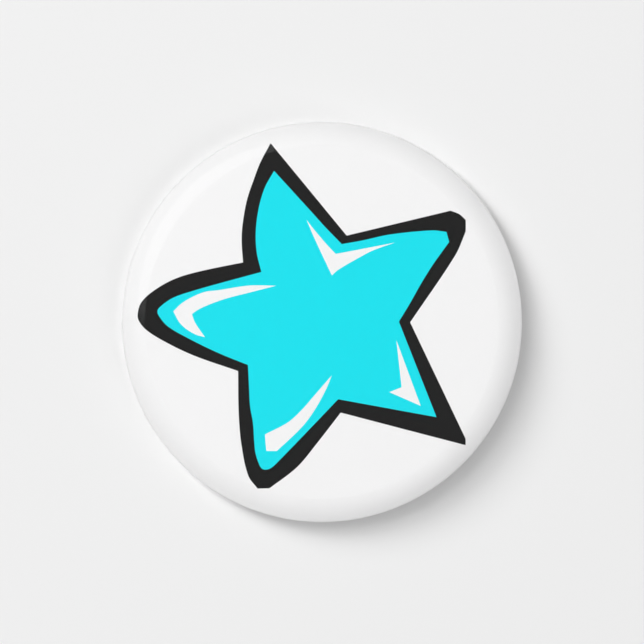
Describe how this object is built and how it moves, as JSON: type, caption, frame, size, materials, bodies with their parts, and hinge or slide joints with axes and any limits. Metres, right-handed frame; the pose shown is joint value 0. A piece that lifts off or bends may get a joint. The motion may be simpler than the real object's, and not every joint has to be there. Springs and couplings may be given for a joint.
{
  "type": "pin-back button badge",
  "caption": "Round button badge: film and printed sheet rolled over a domed metal shell, dished back plate, hinged pin stem and turning safety barrel.",
  "frame": {"origin": "centre of the plane that the rolled rim rests on", "axes": "+Z out of the face, +Y towards the top of the print, +X to the right seen from the front; the pin stem points along +X behind the face"},
  "size_m": [0.0572, 0.0572, 0.0054],
  "materials": {
    "clear_film": "clear glossy polyester film",
    "printed_paper": "white paper, printed with a cyan star outlined in black",
    "tinplate": "bright tinplate with a fine rolling grain",
    "nickel_plate": "nickel plated steel",
    "rivet_steel": "zinc plated steel",
    "stem_steel": "drawn bright steel wire"
  },
  "bodies": {
    "badge": {"cover_film": "clear_film", "printed_sheet": "printed_paper", "front_shell": "tinplate", "back_plate": "tinplate", "pin_bar": "nickel_plate", "bar_rivets": "rivet_steel", "hinge_rivet": "rivet_steel"},
    "stem": {"pin_stem": "stem_steel"},
    "barrel": {"catch_barrel": "nickel_plate"}
  },
  "joints": [
    {"name": "stem_hinge", "type": "hinge", "parent": "badge", "child": "stem", "pos_m": [-0.0124, 0, 0.00155], "axis": [0, 1, 0], "range_deg": [0, 100]},
    {"name": "catch_turn", "type": "hinge", "parent": "badge", "child": "barrel", "pos_m": [0.0115, 0, 0.00155], "axis": [1, 0, 0], "range_deg": [0, 140]}
  ]
}
